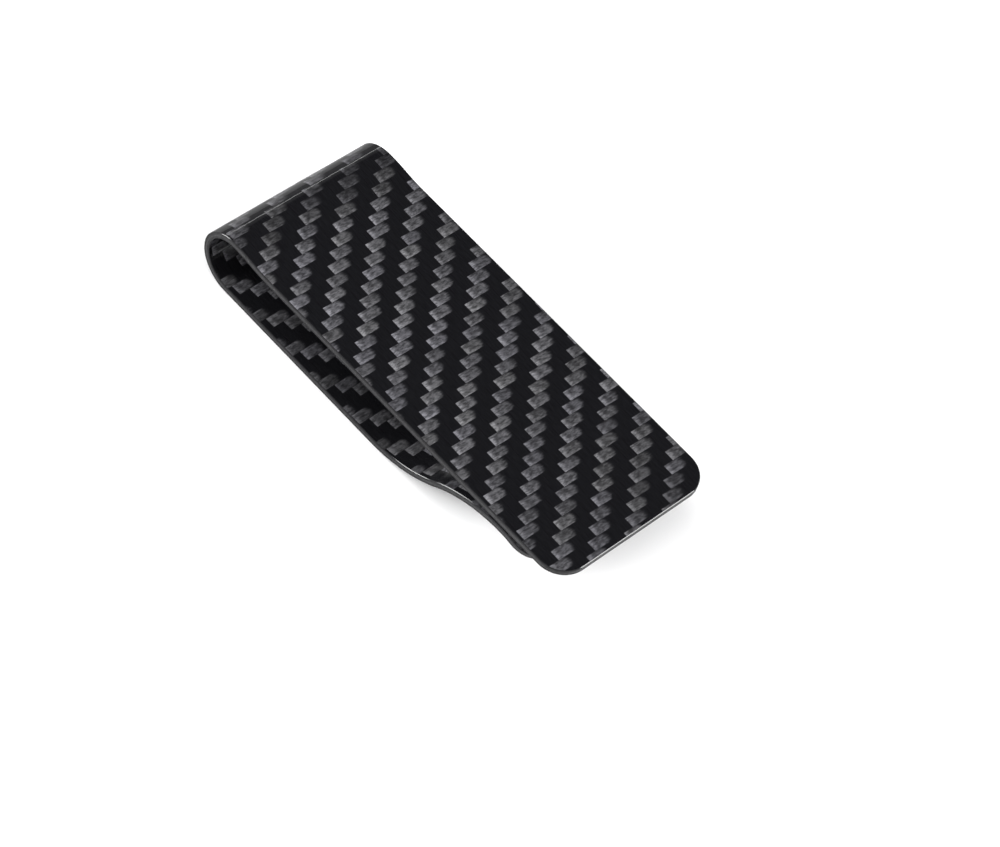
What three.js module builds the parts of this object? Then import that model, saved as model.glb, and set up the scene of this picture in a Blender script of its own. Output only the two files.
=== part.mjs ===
// Carbon-fibre money clip: one moulded strip of five plies, folded into a U with a flat upper arm,
// a round bend and a lower arm that rises to pinch the banknotes against the upper arm.
//
// Frame, in millimetres: +X runs along the clip from the bend to the tip, Y runs across its width
// and +Z points up. The origin is the middle of the clip's footprint, on the surface it rests on.
import * as THREE from 'three';

// Driving dimensions.
const LENGTH = 67.6;              // bend to tip
const WIDTH = 26.8;
const BEND_RADIUS = 5.1;          // outside of the bend
const CROWN_RISE = 0.5;           // the bend's crown above the flat of the upper arm
const CROWN_FADE = 7.0;           // length over which the upper arm settles from crown to flat
const TIP_CORNER = 4.0;           // corner radius of both tips, in plan

// The laminate, from its outer face to its inner face.
const PLY_COUNT = 5;
const PLY_THICKNESS = 0.184;
const BOND_GAP = 0.02;            // clearance between neighbouring plies
const PLY_PITCH = PLY_THICKNESS + BOND_GAP;
const THICKNESS = PLY_COUNT * PLY_PITCH - BOND_GAP;
const HALF = THICKNESS / 2;

// The lower arm.
const BASE_FLAT_END = 34.0;       // end of the stretch that rests on the table
const CREST_X = 57.0;             // where the lower arm comes closest to the upper arm
const CREST_GAP = 0.25;
const LIP_RADIUS = 10.0;          // flare past the crest, on the laminate's middle surface
const LIP_ANGLE = THREE.MathUtils.degToRad(22);
const LIP_LENGTH = 2.2;

// The flexure: the strip is parted at the apex of its bend, where the arms open.
const FLEX_GAP = 0.2;
const ARC_STEP = THREE.MathUtils.degToRad(5);
const CORNER_STEPS = 6;

const NEUTRAL_RADIUS = BEND_RADIUS - HALF;
const FLEX_ANGLE = FLEX_GAP / 2 / NEUTRAL_RADIUS;
const QUARTER_TURN = Math.PI / 2;

// Ply by ply, from the outside of the U to the inside.
const PLIES = [
  { name: 'outer_twill_ply', colour: 0x1b1b1d, roughness: 0.25 },
  { name: 'outer_spring_ply', colour: 0x242426, roughness: 0.6 },
  { name: 'cross_ply', colour: 0x2c2c2f, roughness: 0.6 },
  { name: 'inner_spring_ply', colour: 0x242426, roughness: 0.6 },
  { name: 'inner_twill_ply', colour: 0x1b1b1d, roughness: 0.25 },
];

// Two equal and opposite arcs that shift the strip sideways by `rise` over `run`.
function easeArcs(run, rise) {
  const angle = 2 * Math.atan(rise / run);
  const radius = run / (2 * Math.sin(angle));
  return { angle, radius };
}

// Follows the strip's middle surface from a start point. Each leg is a straight {length} or an
// arc {radius, turn}, where a positive turn goes from +X towards +Z. The result is a list of
// stations: the point, the heading and the distance along the strip.
function layStrip(start, heading, legs) {
  const stations = [{ x: start.x, z: start.z, heading, s: 0 }];
  let last = stations[0];
  for (const leg of legs) {
    const steps = leg.length ? 1 : Math.ceil(Math.abs(leg.turn) / ARC_STEP);
    const arc = leg.length ?? leg.radius * Math.abs(leg.turn);
    for (let i = 0; i < steps; i += 1) {
      const turn = (leg.turn ?? 0) / steps;
      const chord = leg.length ?? 2 * leg.radius * Math.sin(Math.abs(turn) / 2);
      const along = last.heading + turn / 2;
      last = {
        x: last.x + chord * Math.cos(along),
        z: last.z + chord * Math.sin(along),
        heading: last.heading + turn,
        s: last.s + arc / steps,
      };
      stations.push(last);
    }
  }
  return stations;
}

// Splits the last stretch of a strip at the places where its plan-view corners need points.
function addCornerStations(stations) {
  const end = stations.at(-1).s;
  const wanted = [];
  for (let i = 0; i < CORNER_STEPS; i += 1) {
    wanted.push(end - TIP_CORNER * (1 - Math.sin(QUARTER_TURN * i / CORNER_STEPS)));
  }
  const result = [];
  stations.forEach((station, index) => {
    const before = stations[index - 1];
    for (const s of wanted) {
      if (before && s > before.s && s < station.s) {
        const t = (s - before.s) / (station.s - before.s);
        result.push({
          x: THREE.MathUtils.lerp(before.x, station.x, t),
          z: THREE.MathUtils.lerp(before.z, station.z, t),
          heading: THREE.MathUtils.lerp(before.heading, station.heading, t),
          s,
        });
      }
    }
    result.push(station);
  });
  return result;
}

// Half the strip's width at distance s along it: full width, then a round corner at the tip.
function halfWidth(s, end) {
  const into = Math.max(0, TIP_CORNER - (end - s));
  return WIDTH / 2 - TIP_CORNER + Math.sqrt(TIP_CORNER ** 2 - into ** 2);
}

// One ply: a box with one slice per station, bent along the strip at its own depth. `side` is
// +1 where the outside of the U lies to the left of the heading and -1 where it lies to the right.
function plyGeometry(stations, depth, side) {
  const end = stations.at(-1).s;
  const slices = stations.length - 1;
  const geometry = new THREE.BoxGeometry(slices, 2, 1, slices, 1, 1);
  const position = geometry.attributes.position;
  for (let i = 0; i < position.count; i += 1) {
    const station = stations[Math.round(position.getX(i) + slices / 2)];
    const outward = position.getZ(i) * side > 0;
    const offset = side * (HALF - depth - (outward ? 0 : PLY_THICKNESS));
    position.setXYZ(
      i,
      station.x - offset * Math.sin(station.heading),
      position.getY(i) * halfWidth(station.s, end),
      station.z + offset * Math.cos(station.heading),
    );
  }
  return geometry;
}

// All the plies of one arm.
function layArm(armName, stations, side) {
  const arm = new THREE.Group();
  PLIES.forEach((ply, index) => {
    const material = new THREE.MeshStandardMaterial({
      color: ply.colour,
      roughness: ply.roughness,
      metalness: 0,
    });
    const mesh = new THREE.Mesh(plyGeometry(stations, index * PLY_PITCH, side), material);
    mesh.name = `${armName}_${ply.name}`;
    arm.add(mesh);
  });
  return arm;
}

// A station on the bend, turned by `angle` from its apex: up for a positive angle.
function onBend(angle) {
  return {
    x: BEND_RADIUS - NEUTRAL_RADIUS * Math.cos(angle),
    z: BEND_RADIUS + NEUTRAL_RADIUS * Math.sin(angle),
  };
}

const bendTurn = QUARTER_TURN - FLEX_ANGLE;
const upperFlatZ = 2 * BEND_RADIUS - CROWN_RISE - HALF;

const crown = easeArcs(CROWN_FADE, CROWN_RISE);
const upperStations = addCornerStations(layStrip(onBend(FLEX_ANGLE), bendTurn, [
  { radius: NEUTRAL_RADIUS, turn: -bendTurn },
  { radius: crown.radius, turn: -crown.angle },
  { radius: crown.radius, turn: crown.angle },
  { length: LENGTH - BEND_RADIUS - CROWN_FADE },
]));

const step = easeArcs(CREST_X - BASE_FLAT_END, upperFlatZ - THICKNESS - CREST_GAP - HALF);
const lowerStations = addCornerStations(layStrip(onBend(-FLEX_ANGLE), -bendTurn, [
  { radius: NEUTRAL_RADIUS, turn: bendTurn },
  { length: BASE_FLAT_END - BEND_RADIUS },
  { radius: step.radius, turn: step.angle },
  { radius: step.radius, turn: -step.angle },
  { radius: LIP_RADIUS, turn: -LIP_ANGLE },
  { length: LIP_LENGTH },
]));

const group = new THREE.Group();
group.add(layArm('upper', upperStations, 1));
group.add(layArm('lower', lowerStations, -1));
group.position.x = -LENGTH / 2;

export default group;
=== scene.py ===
"""Carbon-fibre money clip: the five plies of its laminate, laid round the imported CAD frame."""

import math

import bpy
import numpy as np
from mathutils import Matrix, Vector


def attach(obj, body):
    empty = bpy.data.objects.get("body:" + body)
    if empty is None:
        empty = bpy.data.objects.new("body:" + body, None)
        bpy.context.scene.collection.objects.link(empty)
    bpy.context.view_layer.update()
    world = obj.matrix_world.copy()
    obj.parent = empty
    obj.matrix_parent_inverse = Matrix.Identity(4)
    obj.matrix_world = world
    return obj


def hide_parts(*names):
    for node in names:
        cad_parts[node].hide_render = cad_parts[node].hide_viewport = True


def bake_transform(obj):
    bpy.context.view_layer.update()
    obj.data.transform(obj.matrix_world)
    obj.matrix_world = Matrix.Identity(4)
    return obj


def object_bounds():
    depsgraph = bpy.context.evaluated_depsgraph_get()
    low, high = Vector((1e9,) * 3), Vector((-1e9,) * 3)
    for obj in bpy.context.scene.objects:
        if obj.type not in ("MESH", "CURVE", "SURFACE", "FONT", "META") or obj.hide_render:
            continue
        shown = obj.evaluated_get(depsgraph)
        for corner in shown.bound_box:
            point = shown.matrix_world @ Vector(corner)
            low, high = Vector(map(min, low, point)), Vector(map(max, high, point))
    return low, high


MM = 0.001

# ---------------------------------------------------------------- driving dimensions, millimetres
BEND_RADIUS = 5.1            # outside of the bend
CROWN_RISE = 0.5             # the crown above the flat of the upper arm
CROWN_FADE = 7.0             # length over which the upper arm settles from crown to flat
TIP_CORNER = 4.0             # plan radius of both tips
THICKNESS = 1.0
PLY_PITCH = 0.204
PLY_CLEARANCE = 0.001        # keeps neighbouring plies' hidden faces apart
BASE_FLAT_END = 34.0         # measured from the outside of the bend, as are the next two
CREST_X = 57.0
SEAM_X = 30.0                # the two runs of each ply meet here, on the flat of the lower arm
CREST_GAP = 0.25
LIP_RADIUS = 10.0
LIP_ANGLE = math.radians(22)
LIP_LENGTH = 2.2
EDGE_CHAMFER = 0.09          # 45 degree chamfer round both faces of the laminate
EDGE_SOFTENING = 0.03        # rounding where the chamfer meets the faces and the edge
WEAVE_RELIEF = 0.006         # depth of the print-through of the weave in the clear coat

HALF = THICKNESS / 2
NEUTRAL_RADIUS = BEND_RADIUS - HALF

# ---------------------------------------------------------------- mesh density, millimetres
FACE_STEP = 0.25             # grid of the woven faces
CORE_STEP = 2.0              # grid of the plies that show only their edges
CORE_COLUMNS = 8
ROW_TURN = math.radians(3)   # the most that a strip turns between two rows
CORNER_ROWS = 20
SOFT_STEPS = 3
RING_MARGIN = 0.004          # rings on a ply's edge stay this far from its two faces
SHARP_ANGLE = math.radians(35)
FACE_SLOT = 0                # a piece's material slots
EDGE_SLOT = 1

# ---------------------------------------------------------------- the weave, in tows
TWILL_REPEAT = 4
FLOAT_LENGTH = 2
WEFT_PITCH = 1.5965          # millimetres, at the weave's datum
WARP_PITCH = 1.60
WEAVE_DATUM_X = 36.0
WEFT_PHASE = 10.386
WARP_PHASE = 2.850
WARP_SKEW = 0.0149           # tows gained across the clip per millimetre along it
WEFT_SKEW = -0.0130
WEFT_CLOSING = 2.14e-4       # how the wefts close up towards the tip
WEFT_FAN = -1.62e-4
WARP_DRIFT = -1.29e-4        # the slight curve of the warps along the clip
WARP_BOW = -2.63e-4

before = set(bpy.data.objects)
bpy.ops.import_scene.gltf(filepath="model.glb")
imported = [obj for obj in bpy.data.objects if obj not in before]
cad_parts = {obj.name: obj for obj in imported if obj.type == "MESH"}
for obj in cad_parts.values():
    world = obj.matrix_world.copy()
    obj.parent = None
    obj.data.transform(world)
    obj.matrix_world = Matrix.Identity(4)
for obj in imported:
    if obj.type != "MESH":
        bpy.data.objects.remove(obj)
cad_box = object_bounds()
low, high = (Vector(corner) / MM for corner in cad_box)
LENGTH = high.x - low.x
WIDTH = high.y - low.y
BEND_X = low.x
TOP_Z = 2 * BEND_RADIUS - CROWN_RISE


# ---------------------------------------------------------------- the strip's middle surface
def ease_arcs(run, rise):
    """Angle and radius of two equal and opposite arcs that climb `rise` over `run`."""
    angle = 2 * math.atan(rise / run)
    return angle, run / (2 * math.sin(angle))


class Strip:
    """A path in the XZ plane made of straights (length, 0) and arcs (radius, turn)."""

    def __init__(self, start, heading, legs):
        self.legs = []
        x, z = start
        travelled = 0.0
        for size, turn in legs:
            length = size * abs(turn) if turn else size
            curvature = turn / length
            self.legs.append((travelled, length, x, z, heading, curvature))
            x, z, heading = self._move(x, z, heading, curvature, length)
            travelled += length
        self.length = travelled

    @staticmethod
    def _move(x, z, heading, curvature, distance):
        after = heading + curvature * distance
        half_turn = (after - heading) / 2
        chord = distance * np.sinc(half_turn / np.pi)
        along = heading + half_turn
        return x + chord * np.cos(along), z + chord * np.sin(along), after

    def at(self, s):
        """x, z and heading at distances s along the strip."""
        s = np.asarray(s, float)
        x, z, heading = (np.zeros_like(s) for _ in range(3))
        for start, length, x0, z0, h0, curvature in self.legs:
            here = (s >= start - 1e-9) & (s <= start + length + 1e-9)
            moved = self._move(x0, z0, h0, curvature, s[here] - start)
            x[here], z[here], heading[here] = moved
        return x, z, heading

    def ply_length(self, s, offset):
        """Distance along the strip measured at `offset` to the left of its middle surface."""
        stops, lengths = [0.0], [0.0]
        for start, length, _, _, _, curvature in self.legs:
            stops.append(start + length)
            lengths.append(lengths[-1] + length * (1 - curvature * offset))
        return np.interp(s, stops, lengths)

    def rows(self, first, last, step):
        """Distances between first and last, no further apart than step or than ROW_TURN."""
        stops = [first, last]
        for start, length, _, _, _, curvature in self.legs:
            fine = min(step, ROW_TURN / abs(curvature)) if curvature else step
            count = max(1, math.ceil(length / fine))
            stops += list(start + length * np.arange(count + 1) / count)
        stops = np.unique(np.round(stops, 6))
        return stops[(stops >= first) & (stops <= last)]


crown_angle, crown_radius = ease_arcs(CROWN_FADE, CROWN_RISE)
step_angle, step_radius = ease_arcs(CREST_X - BASE_FLAT_END, TOP_Z - 2 * THICKNESS - CREST_GAP)
upper_run = Strip((SEAM_X, HALF), math.pi, [
    (SEAM_X - BEND_RADIUS, 0),
    (NEUTRAL_RADIUS, -math.pi),
    (crown_radius, -crown_angle),
    (crown_radius, crown_angle),
    (LENGTH - BEND_RADIUS - CROWN_FADE, 0),
])
lower_run = Strip((SEAM_X, HALF), 0.0, [
    (BASE_FLAT_END - SEAM_X, 0),
    (step_radius, step_angle),
    (step_radius, -step_angle),
    (LIP_RADIUS, -LIP_ANGLE),
    (LIP_LENGTH, 0),
])


# ---------------------------------------------------------------- weave coordinates
def weave_coords(along, across):
    """Weft and warp tow counts at a place on a ply. `along` is x on the flat of the upper arm."""
    dx = along - WEAVE_DATUM_X
    # Where along is below 0, round the bend, the curved terms carry on in a straight line.
    held = np.maximum(dx, -WEAVE_DATUM_X)
    squared = held * (2 * dx - held)
    weft = WEFT_PHASE + dx / WEFT_PITCH + WEFT_SKEW * across
    weft = weft + WEFT_CLOSING * squared + WEFT_FAN * held * across
    warp = WARP_PHASE + across / WARP_PITCH + WARP_SKEW * dx
    return weft, warp + WARP_DRIFT * squared + WARP_BOW * across ** 2


def weave_height(weft, warp):
    """0 at the foot of a tow and 1 on the crown of a float of the 2x2 twill."""
    row = np.floor(weft)
    place = np.mod(warp + row, TWILL_REPEAT)
    over = place < FLOAT_LENGTH
    column = np.floor(warp)
    warp_place = np.mod(column + row, TWILL_REPEAT) - FLOAT_LENGTH + weft - row
    width = np.where(over, weft - row, warp - column)
    run = np.where(over, place, warp_place) / FLOAT_LENGTH
    return np.sin(np.pi * width) ** 0.5 * np.sin(np.pi * np.clip(run, 0, 1)) ** 0.5


# ---------------------------------------------------------------- plies
def chamfer_profile():
    """Depth and inset pairs down one softened chamfer, from the face to the edge."""
    reach = EDGE_SOFTENING * math.tan(math.pi / 8)
    pairs = []
    for k in range(SOFT_STEPS + 1):
        turn = math.pi / 4 * k / SOFT_STEPS
        pairs.append((
            EDGE_SOFTENING * (1 - math.cos(turn)),
            EDGE_CHAMFER + reach - EDGE_SOFTENING * math.sin(turn),
        ))
    return pairs + [(inset, depth) for depth, inset in reversed(pairs)]


CHAMFER = chamfer_profile()


def inset_at(depth):
    """How far the edge is drawn in at a depth below the outer face."""
    depths, insets = zip(*CHAMFER)
    return float(np.interp(min(depth, THICKNESS - depth), depths, insets))


def ply_levels(top, bottom):
    """Depths of the rings that shape a ply's edge."""
    shaped = [depth for depth, _ in CHAMFER]
    shaped += [THICKNESS - depth for depth in shaped]
    inner = [d for d in shaped if top + RING_MARGIN < d < bottom - RING_MARGIN]
    return sorted([top, bottom] + inner)


def plan_grid(strip, straight, columns, inset):
    """Distances along and across the strip for every grid point of a face drawn in by inset."""
    corner_start = strip.length - TIP_CORNER
    turn = np.linspace(0, math.pi / 2, CORNER_ROWS + 1)[1:]
    along = np.r_[straight, corner_start + (TIP_CORNER - inset) * np.sin(turn)]
    half = np.r_[
        np.full(len(straight), WIDTH / 2 - inset),
        WIDTH / 2 - TIP_CORNER + (TIP_CORNER - inset) * np.cos(turn),
    ]
    across = half[:, None] * columns[None, :]
    return np.repeat(along[:, None], len(columns), 1), across


def rim(grid):
    """The grid's border, once round."""
    return np.r_[grid[:, 0], grid[-1, 1:], grid[-2::-1, -1], grid[0, -2:0:-1]]


def place(strip, side, along, across, depth):
    """Points in the part's frame at a depth below the outer face."""
    x, z, heading = strip.at(along)
    offset = side * (HALF - depth)
    px = BEND_X + x - offset * np.sin(heading)
    pz = z + offset * np.cos(heading)
    return np.stack([px, across + np.zeros_like(px), pz], -1)


def build_ply(name, strip, side, seam_along, top, bottom, woven, materials):
    """One run of one ply as a closed mesh, from the seam to a tip.

    side is +1 where the outer face lies to the left of the strip's heading and -1 where it lies to
    the right. seam_along is the seam's place in the weave, and woven is None, "top" or "bottom".
    """
    middle = side * (HALF - (top + bottom) / 2)
    straight = strip.rows(0.0, strip.length - TIP_CORNER, FACE_STEP if woven else CORE_STEP)
    column_count = math.ceil(WIDTH / FACE_STEP) if woven else CORE_COLUMNS
    columns = np.linspace(-1, 1, column_count + 1)
    points, weave, faces, slots = [], [], [], []
    count = 0

    def add(along, across, depth, relief=False):
        nonlocal count
        weft, warp = weave_coords(seam_along + side * strip.ply_length(along, middle), across)
        if relief:
            dip = WEAVE_RELIEF * (1 - weave_height(weft, warp))
            depth = depth + (dip if woven == "top" else -dip)
        points.append(place(strip, side, along, across, depth).reshape(-1, 3))
        weave.append(np.stack([weft, warp, np.zeros_like(weft)], -1).reshape(-1, 3))
        start = count
        count += along.size
        return np.arange(start, count).reshape(along.shape)

    def add_face(depth, upward, shows_weave):
        along, across = plan_grid(strip, straight, columns, inset_at(depth))
        index = add(along, across, depth, shows_weave)
        corners = [index[:-1, :-1], index[1:, :-1], index[1:, 1:], index[:-1, 1:]]
        quads = np.stack([c.ravel() for c in corners], -1)
        flip = upward != (side > 0)
        faces.append(quads[:, ::-1] if flip else quads)
        slots.append(np.full(len(quads), FACE_SLOT if shows_weave else EDGE_SLOT))
        return rim(index)

    rings = [add_face(top, True, woven == "top")]
    for depth in ply_levels(top, bottom)[1:-1]:
        along, across = plan_grid(strip, straight, columns, inset_at(depth))
        rings.append(add(rim(along), rim(across), depth))
    rings.append(add_face(bottom, False, woven == "bottom"))
    for upper, lower in zip(rings, rings[1:]):
        quads = np.stack([upper, np.roll(upper, -1), np.roll(lower, -1), lower], -1)
        faces.append(quads if side < 0 else quads[:, ::-1])
        slots.append(np.full(len(quads), EDGE_SLOT))

    mesh = bpy.data.meshes.new(name)
    all_points = np.concatenate(points) * MM
    all_faces = np.concatenate(faces)
    mesh.from_pydata(all_points.tolist(), [], all_faces.tolist())
    mesh.polygons.foreach_set("material_index", np.concatenate(slots).astype(np.int32))
    tows = mesh.attributes.new("tows", "FLOAT_VECTOR", "POINT")
    tows.data.foreach_set("vector", np.concatenate(weave).astype(np.float32).ravel())
    mesh.polygons.foreach_set("use_smooth", np.ones(len(all_faces), bool))
    mesh.set_sharp_from_angle(angle=SHARP_ANGLE)
    for material in materials:
        mesh.materials.append(material)
    mesh.validate()
    mesh.update()
    piece = bpy.data.objects.new(name, mesh)
    bpy.context.scene.collection.objects.link(piece)
    return piece


# ---------------------------------------------------------------- node helpers
class Nodes:
    """Short names for the shader nodes used here."""

    def __init__(self, tree):
        self.tree = tree
        tree.nodes.clear()

    def add(self, kind, **settings):
        node = self.tree.nodes.new(kind)
        for key, value in settings.items():
            setattr(node, key, value)
        return node

    def feed(self, socket, value):
        if isinstance(value, bpy.types.NodeSocket):
            self.tree.links.new(value, socket)
        else:
            socket.default_value = value

    def math(self, operation, *values):
        node = self.add("ShaderNodeMath", operation=operation)
        for socket, value in zip(node.inputs, values):
            self.feed(socket, value)
        return node.outputs[0]

    def product(self, first, *others):
        for value in others:
            first = self.math("MULTIPLY", first, value)
        return first

    def ramp(self, value, start, end, low_value, high_value):
        """Smooth step from low_value at start to high_value at end."""
        node = self.add("ShaderNodeMapRange", interpolation_type="SMOOTHSTEP")
        for socket, given in zip(node.inputs, (value, start, end, low_value, high_value)):
            self.feed(socket, given)
        return node.outputs[0]

    def vector(self, x, y, z):
        node = self.add("ShaderNodeCombineXYZ")
        for socket, value in zip(node.inputs, (x, y, z)):
            self.feed(socket, value)
        return node.outputs[0]

    def separate(self, vector):
        node = self.add("ShaderNodeSeparateXYZ")
        self.feed(node.inputs[0], vector)
        return node.outputs

    def scaled(self, vector, amount):
        node = self.add("ShaderNodeVectorMath", operation="SCALE")
        self.feed(node.inputs[0], vector)
        self.feed(node.inputs["Scale"], amount)
        return node.outputs[0]

    def noise(self, vector, scale, detail):
        node = self.add("ShaderNodeTexNoise")
        self.feed(node.inputs["Vector"], vector)
        node.inputs["Scale"].default_value = scale
        node.inputs["Detail"].default_value = detail
        return node.outputs["Fac"]

    def mix(self, factor, first, second):
        node = self.add("ShaderNodeMix", data_type="RGBA")
        self.feed(node.inputs[0], factor)
        self.feed(node.inputs[6], first)
        self.feed(node.inputs[7], second)
        return node.outputs[2]

    def shader(self, **values):
        surface = self.add("ShaderNodeBsdfPrincipled")
        for key, value in values.items():
            self.feed(surface.inputs[key.replace("_", " ")], value)
        output = self.add("ShaderNodeOutputMaterial")
        self.tree.links.new(surface.outputs[0], output.inputs[0])


def new_material(name):
    material = bpy.data.materials.new(name)
    material.use_nodes = True
    return material, Nodes(material.node_tree)


# ---------------------------------------------------------------- the look of the twill
# Each ramp is a smooth step: its start, its end, its value before and its value after.

# The outline of a weft float. It runs 0 to 1 across its tow, from the side nearer the bend, and
# 0 to 2 along its tow, from its near end at -Y to the far end where it dives.
NEAR_END = (-0.02, 0.05, 0.0, 1.0)
BEND_SIDE = (0.0, 0.03, 0.0, 1.0)
TIP_SIDE = (0.98, 1.0, 1.0, 0.0)
FAR_END = (0.25, 0.75, 1.57, 1.74)            # feathered by noise
FAR_END_SPREAD = 0.34                         # from one float to the next
DIVE = (-0.28, 0.24, 1.0, 0.0)                # about the far end
FEATHER_STRETCH = (9.0, 1.0)                  # how fast the noise changes with weft and with warp

# Painted sheen within a float: painted highlights at its near end and on the side nearer the tip, painted
# light towards its far end and painted shade on the side nearer the bend.
NEAR_END_HIGHLIGHT = (0.14, 0.58, 1.35, 0.0)            # along the float
TIP_SIDE_HIGHLIGHT = (0.60, 1.0, 0.0, 0.80)              # across the float
TIP_SIDE_HIGHLIGHT_FADE = (0.8, 1.35, 1.0, 0.25)         # along the float
FAR_END_SHEEN = (0.70, 1.15, 1.0, 1.15)            # along the float
BEND_SHADE = (0.5, 1.3, 1.0, 0.62)            # along the float
BEND_SHADE_WIDTH = 0.24
STREAK_STRETCH = (5.2, 1.7)
STREAK_TONES = (0.30, 0.66, 0.50, 1.32)
GRAIN_STRETCH = (19.0, 4.0)
GRAIN_TONES = (0.30, 0.70, 0.72, 1.28)
TONE_SPREAD = 0.46                            # from one float to the next
FLOAT_SEED = 3.0
SEED_STRIDE = 37.0                            # keeps the noise of neighbouring floats apart

# Painted light falloff over the whole clip, in tows: painted shade towards the tip, from one side to the
# other and on the crown of the bend, and painted light further round the bend.
PAINTED_TIP_FALLOFF = (9.0, 32.0, 1.0, 0.74)
PAINTED_CROWN_SHADE = (-9.0, -4.5, 0.45, 1.0)
PAINTED_BEND_LIGHT = (-10.6, -9.2, 1.55, 1.0)
PAINTED_SIDE_FALLOFF = (-5.0, 11.0, 1.11, 0.89)

# Painted sheen: the grey of the weft floats stands for the light their fibres reflect; the warp's near
# black is the fibres' own colour.
COOL_WEFT_SHEEN = (0.0476, 0.0470, 0.0522, 1)
NEUTRAL_WEFT_SHEEN = (0.0492, 0.0487, 0.0508, 1)
WARP_COLOUR = (0.0060, 0.0060, 0.0070)
WARP_STRETCH = (1.0, 15.0)
WARP_SEED = 5.0
WARP_TONES = (0.3, 0.75, 0.80, 1.25)
# Painted shade in the grooves between the warp tows.
WARP_GROOVE_SHADE = (0.0, 0.4, 0.88, 1.0)

FLOAT_HEIGHT = 0.45
STREAK_HEIGHT = 0.25
BUMP_STRENGTH = 0.35
BUMP_DISTANCE = 0.05 * MM
SMUDGE_SCALE = 90.0
SMUDGE_ROUGHNESS = (0.3, 0.7, 0.38, 0.46)
CLEAR_COAT = {"Specular_IOR_Level": 0.0, "Coat_Weight": 0.35, "Coat_IOR": 1.5}
OUTER_COAT_ROUGHNESS = 0.03
INNER_COAT_ROUGHNESS = 0.12


def tow_counts(n):
    """The weft and warp tow counts that each piece carries on its points."""
    weft, warp, _ = n.separate(n.add("ShaderNodeAttribute", attribute_name="tows").outputs["Vector"])
    return weft, warp


def fibre_noise(n, weft, warp, stretch, seed, detail):
    """Noise with its own scale along each of the two tow counts."""
    return n.noise(n.vector(n.product(weft, stretch[0]), n.product(warp, stretch[1]), seed), 1.0, detail)


class TwillPlace:
    """Where a shaded point lies in the 2x2 twill, and its float's own random numbers."""

    def __init__(self, n):
        self.weft, self.warp = tow_counts(n)
        row = n.math("FLOOR", self.weft)
        shifted = n.math("ADD", self.warp, row)
        cycle = n.math("FLOOR", n.math("DIVIDE", shifted, TWILL_REPEAT))
        self.across_weft = n.math("SUBTRACT", self.weft, row)
        self.along_float = n.math("FLOORED_MODULO", shifted, TWILL_REPEAT)
        self.across_warp = n.math("SUBTRACT", self.warp, n.math("FLOOR", self.warp))
        seeds = n.add("ShaderNodeTexWhiteNoise", noise_dimensions="3D")
        n.feed(seeds.inputs["Vector"], n.vector(row, cycle, FLOAT_SEED))
        self.tone_seed, self.reach_seed, self.tint_seed = n.separate(seeds.outputs["Color"])
        self.noise_seed = n.product(self.tone_seed, SEED_STRIDE)


def float_mask(n, at):
    """1 on the visible part of a weft float: square at its near end, feathered where it dives."""
    off_centre = n.math("SUBTRACT", at.across_weft, 0.5)
    feathers = fibre_noise(n, at.weft, at.warp, FEATHER_STRETCH, at.noise_seed, 2.0)
    far_end = n.math("SUBTRACT", n.ramp(feathers, *FAR_END), n.product(off_centre, off_centre))
    shift = n.math("MULTIPLY_ADD", at.reach_seed, FAR_END_SPREAD, -FAR_END_SPREAD / 2)
    past_end = n.math("SUBTRACT", at.along_float, n.math("ADD", far_end, shift))
    sides = n.product(n.ramp(at.across_weft, *BEND_SIDE), n.ramp(at.across_weft, *TIP_SIDE))
    return n.product(n.ramp(past_end, *DIVE), n.ramp(at.along_float, *NEAR_END), sides)


def float_light(n, at, streaks):
    """Painted brightness of a weft float: painted highlights at its near end and on the side nearer the
    tip, painted shade on the side nearer the bend and a painted falloff over the clip, with its fibre
    streaks and its own tone.
    """
    # Painted sheen: painted highlights at the near end and on the side nearer the tip, over painted light
    # towards the far end.
    near_highlight = n.ramp(at.along_float, *NEAR_END_HIGHLIGHT)
    tip_highlight = n.product(n.ramp(at.across_weft, *TIP_SIDE_HIGHLIGHT), n.ramp(at.along_float, *TIP_SIDE_HIGHLIGHT_FADE))
    highlights = n.math("MAXIMUM", near_highlight, tip_highlight)
    shape = n.math("ADD", n.ramp(at.along_float, *FAR_END_SHEEN), highlights)
    # Painted shade on the side nearer the bend, deepest towards the far end.
    darkest = n.ramp(at.along_float, *BEND_SHADE)
    bend_shade = n.ramp(at.across_weft, 0.0, BEND_SHADE_WIDTH, darkest, 1.0)
    tone = n.math("MULTIPLY_ADD", at.tone_seed, TONE_SPREAD, 1 - TONE_SPREAD / 2)
    grain = fibre_noise(n, at.weft, at.warp, GRAIN_STRETCH, at.noise_seed, 1.0)
    fibres = n.product(n.ramp(streaks, *STREAK_TONES), n.ramp(grain, *GRAIN_TONES))
    # Painted light falloff over the clip: painted shade towards the tip, from side to side and on the
    # crown, and painted light further round the bend.
    painted_falloff = n.product(
        n.ramp(at.weft, *PAINTED_TIP_FALLOFF),
        n.ramp(at.weft, *PAINTED_CROWN_SHADE),
        n.ramp(at.warp, *PAINTED_SIDE_FALLOFF),
        n.ramp(at.weft, *PAINTED_BEND_LIGHT),
    )
    return n.product(shape, bend_shade, tone, fibres, painted_falloff)


def warp_colour(n, at):
    """The black warp tows, finely streaked, with painted shade in the grooves between them."""
    streaks = fibre_noise(n, at.weft, at.warp, WARP_STRETCH, WARP_SEED, 3.0)
    # Painted shade in the grooves between the warp tows, following each tow's roundness.
    roundness = n.math("SINE", n.product(at.across_warp, math.pi))
    return n.scaled(WARP_COLOUR, n.product(n.ramp(streaks, *WARP_TONES), n.ramp(roundness, *WARP_GROOVE_SHADE)))


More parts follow.
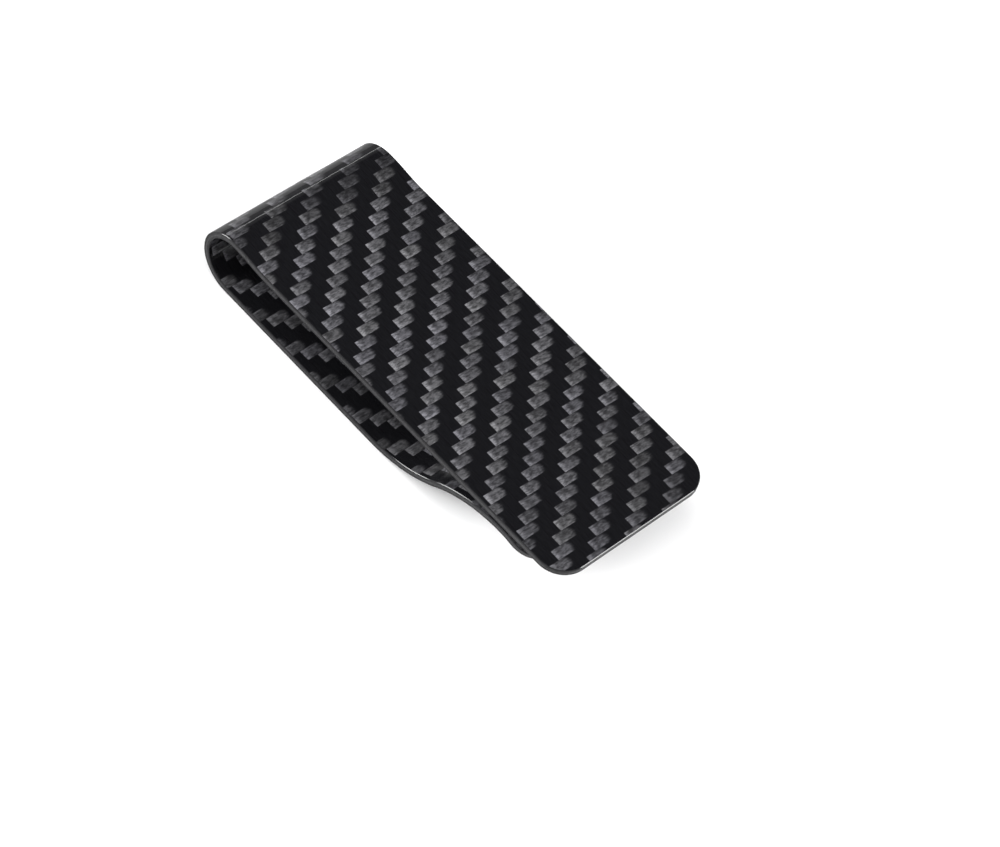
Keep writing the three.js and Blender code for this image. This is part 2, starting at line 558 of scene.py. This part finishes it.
def twill_material(name, coat_roughness):
    """2x2 twill under a clear coat: black warp, with the grey of the weft floats painted as the sheen of
    their fibres.
    """
    material, n = new_material(name)
    at = TwillPlace(n)
    mask = float_mask(n, at)
    streaks = fibre_noise(n, at.weft, at.warp, STREAK_STRETCH, at.noise_seed, 3.0)
    tint = n.mix(at.tint_seed, COOL_WEFT_SHEEN, NEUTRAL_WEFT_SHEEN)
    # Painted sheen of the weft floats.
    weft_sheen = n.scaled(tint, float_light(n, at, streaks))

    bump = n.add("ShaderNodeBump")
    bump.inputs["Strength"].default_value = BUMP_STRENGTH
    bump.inputs["Distance"].default_value = BUMP_DISTANCE
    height = n.math("ADD", n.product(mask, FLOAT_HEIGHT), n.product(streaks, STREAK_HEIGHT))
    n.feed(bump.inputs["Height"], height)

    smudges = n.noise(n.add("ShaderNodeTexCoord").outputs["Object"], SMUDGE_SCALE, 3.0)
    n.shader(
        Base_Color=n.mix(mask, warp_colour(n, at), weft_sheen),
        Roughness=n.ramp(smudges, *SMUDGE_ROUGHNESS),
        Normal=bump.outputs[0],
        Coat_Roughness=coat_roughness,
        **CLEAR_COAT,
    )
    return material


# ---------------------------------------------------------------- the look of the cut edges
CUT_ENDS = (26.0, 26.0)                       # specks where the fibres are cut across
LONG_FIBRES = (2.0, 2.0)                      # streaks where they run along the edge
EDGE_CONTRAST = (0.55, 1.5)                   # darkest and palest, as parts of the tone
EDGE_MIX = (0.3, 0.7, 0.0, 1.0)
EDGE_ROUGHNESS = (0.2, 0.8, 0.28, 0.42)
EDGE_COAT_ROUGHNESS = 0.08


def edge_material(name, tone, stretch):
    """The cut and polished edge of one ply."""
    material, n = new_material(name)
    weft, warp = tow_counts(n)
    streaks = fibre_noise(n, weft, warp, stretch, 0.0, 4.0)
    dark, pale = ([part * value for value in tone] + [1] for part in EDGE_CONTRAST)
    n.shader(
        Base_Color=n.mix(n.ramp(streaks, *EDGE_MIX), dark, pale),
        Roughness=n.ramp(streaks, *EDGE_ROUGHNESS),
        Coat_Roughness=EDGE_COAT_ROUGHNESS,
        **CLEAR_COAT,
    )
    return material


outer_twill = twill_material("outer_twill_clear_coat", OUTER_COAT_ROUGHNESS)
inner_twill = twill_material("inner_twill_clear_coat", INNER_COAT_ROUGHNESS)
face_edge = edge_material("twill_cut_edge", (0.012, 0.012, 0.013), CUT_ENDS)
spring_edge = edge_material("spring_ply_cut_edge", (0.015, 0.015, 0.016), LONG_FIBRES)
cross_edge = edge_material("cross_ply_cut_edge", (0.028, 0.028, 0.029), CUT_ENDS)

# ---------------------------------------------------------------- the ten pieces
# From the outside of the U: name, woven face, face and edge materials, frame slot.
PLIES = [
    ("outer_twill", "top", outer_twill, face_edge, "twill_face"),
    ("outer_spring", None, spring_edge, spring_edge, "laminate_core"),
    ("cross", None, cross_edge, cross_edge, "laminate_core"),
    ("inner_spring", None, spring_edge, spring_edge, "laminate_core"),
    ("inner_twill", "bottom", inner_twill, face_edge, "twill_face"),
]

flat_start = upper_run.legs[-1][0]
for index, (ply, woven, face, edge, slot) in enumerate(PLIES):
    top = index * PLY_PITCH
    bottom = min(top + PLY_PITCH - PLY_CLEARANCE, THICKNESS)
    flat_length = upper_run.ply_length(flat_start, HALF - (top + bottom) / 2)
    seam_along = BEND_RADIUS + CROWN_FADE - flat_length
    layer = (seam_along, top, bottom, woven, (face, edge))

    upper = build_ply(f"{ply}_upper_sheet", upper_run, 1, *layer)
    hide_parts(f"upper_{ply}_ply")
    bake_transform(upper)

    lower = build_ply(f"{ply}_lower_sheet", lower_run, -1, *layer)
    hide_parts(f"lower_{ply}_ply")
    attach(lower, "lower_arm")


# ---------------------------------------------------------------- camera
VIEW_AZIMUTH = math.radians(32.82)
VIEW_ELEVATION = math.radians(52.89)
VIEW_ROLL = math.radians(18.27)
VIEW_DISTANCE = 464.2
VIEW_TARGET = Vector((11.83, -3.57, TOP_Z))
FOCAL_LENGTH = 133.1
SENSOR_WIDTH = 36.0
NEAR_CLIP = 10.0


def add_camera():
    data = bpy.data.cameras.new("camera")
    data.lens = FOCAL_LENGTH
    data.sensor_width = SENSOR_WIDTH
    data.clip_start = NEAR_CLIP * MM
    camera = bpy.data.objects.new("camera", data)
    bpy.context.scene.collection.objects.link(camera)
    tilt = Matrix.Rotation(math.pi / 2 - VIEW_ELEVATION, 4, "X")
    turn = Matrix.Rotation(VIEW_AZIMUTH, 4, "Z")
    roll = Matrix.Rotation(VIEW_ROLL, 4, "Z")
    away = Matrix.Translation((0, 0, VIEW_DISTANCE * MM))
    camera.matrix_world = Matrix.Translation(VIEW_TARGET * MM) @ turn @ tilt @ roll @ away
    bpy.context.scene.camera = camera


# ---------------------------------------------------------------- stage and light, in metres
FLOOR_REACH = 4.0
FLOOR_DARK = (0.86, 0.86, 0.865, 1)
FLOOR_PALE = (0.90, 0.90, 0.90, 1)
LIGHT_AIM = Vector((0, 0, 0.005))
# Name, direction from the clip, distance, size and power in watts.
SOFTBOXES = [
    ("key_softbox", (-0.12, -0.38, 0.92), 0.7, (0.6, 0.6), 2.7),
    ("tip_softbox", (0.797, 0.507, 0.30), 0.8, (0.30, 0.24), 10.0),
    ("bend_softbox", (-0.765, -0.605, 0.22), 0.8, (0.26, 0.34), 9.5),
    ("crown_strip", (-0.83, 0.496, 0.345), 1.027, (0.9, 0.02), 0.95),
]
PANEL_DIRECTION = (-0.327, 0.507, 0.7975)
PANEL_EDGE = (0.84, 0.92)                     # cosines from its direction, outside and inside
PANEL_GLOW = 0.026
SKY_GLOW = 0.72


def add_floor():
    mesh = bpy.data.meshes.new("studio_floor")
    reach = FLOOR_REACH
    corners = [(-reach, -reach, 0), (reach, -reach, 0), (reach, reach, 0), (-reach, reach, 0)]
    mesh.from_pydata(corners, [], [(0, 1, 2, 3)])
    material, n = new_material("studio_floor")
    paper = n.noise(n.add("ShaderNodeTexCoord").outputs["Object"], 40.0, 3.0)
    n.shader(Base_Color=n.mix(paper, FLOOR_DARK, FLOOR_PALE), Roughness=0.9, Specular_IOR_Level=0.1)
    mesh.materials.append(material)
    floor = bpy.data.objects.new("studio_floor", mesh)
    bpy.context.scene.collection.objects.link(floor)


def add_softbox(name, direction, distance, size, power):
    light = bpy.data.lights.new(name, "AREA")
    light.shape = "RECTANGLE"
    light.size, light.size_y = size
    light.energy = power
    lamp = bpy.data.objects.new(name, light)
    bpy.context.scene.collection.objects.link(lamp)
    away = Vector(direction).normalized()
    lamp.location = LIGHT_AIM + away * distance
    lamp.rotation_euler = away.to_track_quat("Z", "Y").to_euler()


def set_world():
    """An even pale sky with one black panel, which the flat arm mirrors."""
    world = bpy.data.worlds.new("studio")
    bpy.context.scene.world = world
    world.use_nodes = True
    n = Nodes(world.node_tree)
    towards_panel = n.add("ShaderNodeVectorMath", operation="DOT_PRODUCT")
    n.feed(towards_panel.inputs[0], n.add("ShaderNodeTexCoord").outputs["Generated"])
    towards_panel.inputs[1].default_value = PANEL_DIRECTION
    glow = n.ramp(towards_panel.outputs["Value"], *PANEL_EDGE, SKY_GLOW, PANEL_GLOW)
    background = n.add("ShaderNodeBackground")
    n.feed(background.inputs["Color"], (1, 1, 1, 1))
    n.feed(background.inputs["Strength"], glow)
    output = n.add("ShaderNodeOutputWorld")
    n.tree.links.new(background.outputs[0], output.inputs[0])


add_camera()
add_floor()
for softbox in SOFTBOXES:
    add_softbox(*softbox)
set_world()
bpy.context.scene.view_settings.view_transform = "Standard"
